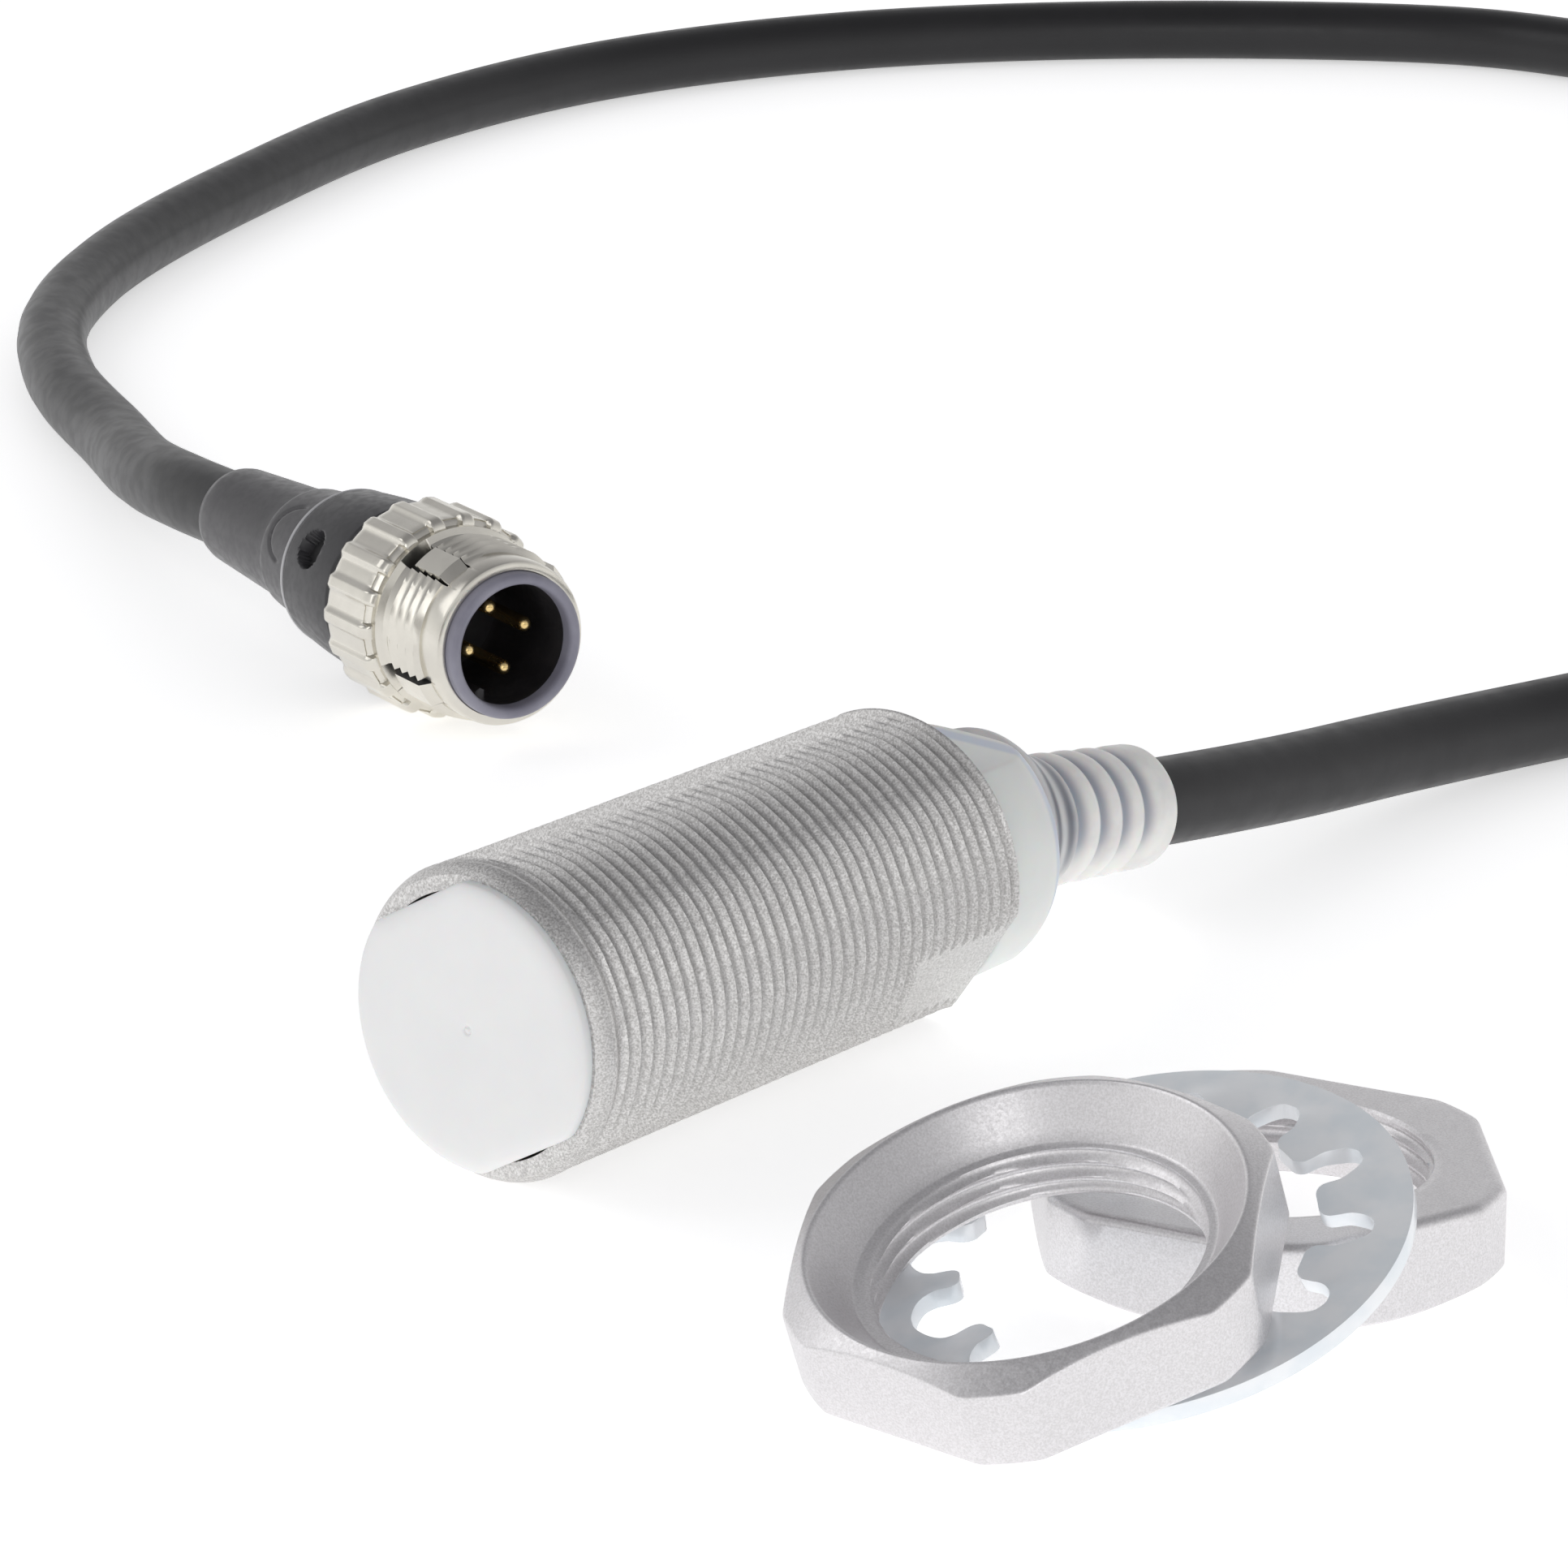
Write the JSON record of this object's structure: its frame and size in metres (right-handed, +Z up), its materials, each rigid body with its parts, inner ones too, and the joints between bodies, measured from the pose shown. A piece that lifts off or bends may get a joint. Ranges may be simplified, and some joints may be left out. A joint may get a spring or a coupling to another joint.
{
  "type": "inductive proximity sensor",
  "caption": "Threaded tubular inductive proximity sensor with a moulded-on cable, a quick-lock plug, two hexagon nuts and a toothed lock washer.",
  "frame": {"origin": "centre of the sensing face, on the sensor axis", "axes": "+Y runs back along the sensor axis from the sensing face to the cable, +Z is up from the surface the sensor lies on, +X is to the right of the sensor seen from its face"},
  "size_m": [0.2296, 0.2882, 0.018],
  "materials": {
    "barrel_metal": "satin",
    "cap_plastic": "matte",
    "ferrite": "matte",
    "brass_band": "satin",
    "bobbin_plastic": "matte",
    "copper": "satin",
    "board": "satin",
    "chip_black": "matte",
    "ceramic": "satin",
    "led_plastic": "gloss",
    "resin": "gloss",
    "collar_plastic": "translucent satin",
    "neck_plastic": "translucent gloss",
    "guard_plastic": "translucent satin",
    "wire_insulation": "matte",
    "cable_jacket": "satin",
    "boot_plastic": "matte",
    "band_grey": "satin",
    "collar_black": "matte",
    "seal_rubber": "matte",
    "carrier_plastic": "satin",
    "gold_pin": "gloss",
    "nickel": "satin",
    "nut_metal": "sandblasted satin",
    "zinc": "bright zinc"
  },
  "bodies": {
    "sensor": {"barrel": "barrel_metal", "face_cap": "cap_plastic", "ferrite_core": "ferrite", "shield_ring": "brass_band", "coil_bobbin": "bobbin_plastic", "coil_winding": "copper", "coil_leads": "brass_band", "circuit_board": "board", "oscillator_chip": "chip_black", "output_transistor": "chip_black", "chip_capacitors": "ceramic", "status_leds": "led_plastic", "potting_resin": "resin", "indicator_collar": "collar_plastic", "outlet_neck": "neck_plastic", "cable_guard": "guard_plastic", "core_wires": "wire_insulation", "cable": "cable_jacket", "plug_boot": "boot_plastic", "plug_wires": "wire_insulation", "boot_band": "band_grey", "plug_collar": "collar_black", "shadow_ring": "seal_rubber", "contact_carrier": "carrier_plastic", "contact_pin_1": "gold_pin", "contact_pin_2": "gold_pin", "contact_pin_3": "gold_pin", "contact_pin_4": "gold_pin"},
    "coupling": {"threaded_sleeve": "nickel", "locking_ring": "nickel"},
    "rear_nut": {"rear_nut": "nut_metal"},
    "washer": {"toothed_washer": "zinc"},
    "front_nut": {"front_nut": "nut_metal"}
  },
  "joints": [
    {"name": "coupling_turn", "type": "hinge", "parent": "sensor", "child": "coupling", "pos_m": [-0.05841, 0.06172, -0.002], "axis": [0.9553, -0.2957, 0], "continuous": true},
    {"name": "rear_nut_lift", "type": "slide", "parent": "sensor", "child": "rear_nut", "axis": [0, 0, 1], "range_m": [0, 0.06]},
    {"name": "washer_lift", "type": "slide", "parent": "rear_nut", "child": "washer", "axis": [0, 0, 1], "range_m": [0, 0.06]},
    {"name": "front_nut_lift", "type": "slide", "parent": "washer", "child": "front_nut", "axis": [0, 0, 1], "range_m": [0, 0.06]}
  ]
}
